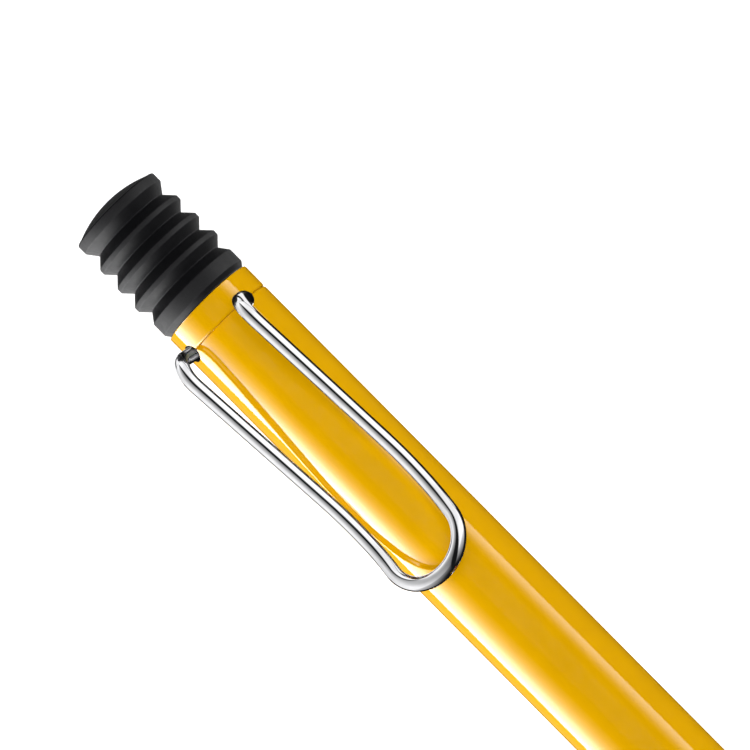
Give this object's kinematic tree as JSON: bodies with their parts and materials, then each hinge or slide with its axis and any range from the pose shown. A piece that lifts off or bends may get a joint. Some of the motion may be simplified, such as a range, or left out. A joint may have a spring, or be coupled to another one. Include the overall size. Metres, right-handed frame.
{
  "type": "mechanical pencil",
  "caption": "Mechanical pencil with a yellow barrel, a black rubber bellows push cap, a looped wire pocket clip and a ribbed rubber grip.",
  "frame": {"origin": "under the middle of the pencil's length, on the plane that the widest fold of the cap rests on", "axes": "+X along the pencil towards the writing tip, +Z towards the pocket clip, +Y completes a right-handed frame"},
  "size_m": [0.1406, 0.0132, 0.0178],
  "materials": {
    "yellow_plastic": "gloss",
    "black_rubber": "matte",
    "seal_rubber": "satin",
    "black_plastic": "satin",
    "white_plastic": "satin",
    "polished_wire": "polished",
    "nickel": "satin",
    "brass": "turned",
    "spring_steel": "drawn",
    "white_vinyl": "matte",
    "graphite": "satin"
  },
  "bodies": {
    "root": {"barrel": "yellow_plastic", "collar": "yellow_plastic", "clip_retainer": "black_plastic", "guide_bush": "white_plastic"},
    "clip": {"pocket_clip": "polished_wire"},
    "cap_base": {"bellows": "black_rubber", "cap_ring": "black_plastic"},
    "cap_core": {"button_core": "black_plastic"},
    "seal": {"o_ring": "seal_rubber"},
    "front": {"front_section": "yellow_plastic", "grip_sleeve": "black_rubber", "tip_cone": "nickel", "lead_sleeve": "nickel", "lead_retainer": "seal_rubber", "clutch_sleeve": "brass"},
    "mechanism": {"lead_tank": "white_plastic", "tank_connector": "white_plastic", "chuck": "brass", "eraser_holder": "white_plastic", "eraser": "white_vinyl", "cleaning_needle": "spring_steel", "spare_leads": "graphite", "return_spring": "spring_steel"},
    "clutch": {"clutch_ring": "brass"},
    "lead": {"lead": "graphite"}
  },
  "joints": [
    {"name": "clip_flex", "type": "hinge", "parent": "root", "child": "clip", "pos_m": [-0.04995, 0, 0.0088], "axis": [0, -1, 0], "range_deg": [0, 4], "stiffness_Nm_per_rad": 2, "springref_deg": -1.15},
    {"name": "cap_pull", "type": "slide", "parent": "root", "child": "cap_base", "axis": [-1, 0, 0], "range_m": [0, 0.028]},
    {"name": "cap_press", "type": "slide", "parent": "cap_base", "child": "cap_core", "axis": [1, 0, 0], "range_m": [0, 0.003], "deforming": ["bellows"]},
    {"name": "front_advance", "type": "slide", "parent": "root", "child": "seal", "axis": [1, 0, 0], "range_m": [0, 0.0045]},
    {"name": "front_turn", "type": "hinge", "parent": "seal", "child": "front", "pos_m": [0.0307, 0, 0.0066], "axis": [1, 0, 0], "range_deg": [0, 1080]},
    {"name": "push", "type": "slide", "parent": "front", "child": "mechanism", "axis": [1, 0, 0], "range_m": [0, 0.003], "stiffness_N_per_m": 500, "springref_m": -0.004, "deforming": ["return_spring"]},
    {"name": "clutch_slip", "type": "slide", "parent": "front", "child": "clutch", "axis": [1, 0, 0], "range_m": [0, 0.00075]},
    {"name": "lead_feed", "type": "slide", "parent": "front", "child": "lead", "axis": [1, 0, 0], "range_m": [-0.0006, 0.006]}
  ],
  "couplings": [
    {"joint": "cap_press", "follows": "push", "ratio": 1},
    {"joint": "clutch_slip", "follows": "push", "ratio": 0.25},
    {"joint": "front_turn", "follows": "front_advance", "rad_per_m": 4188.8}
  ]
}
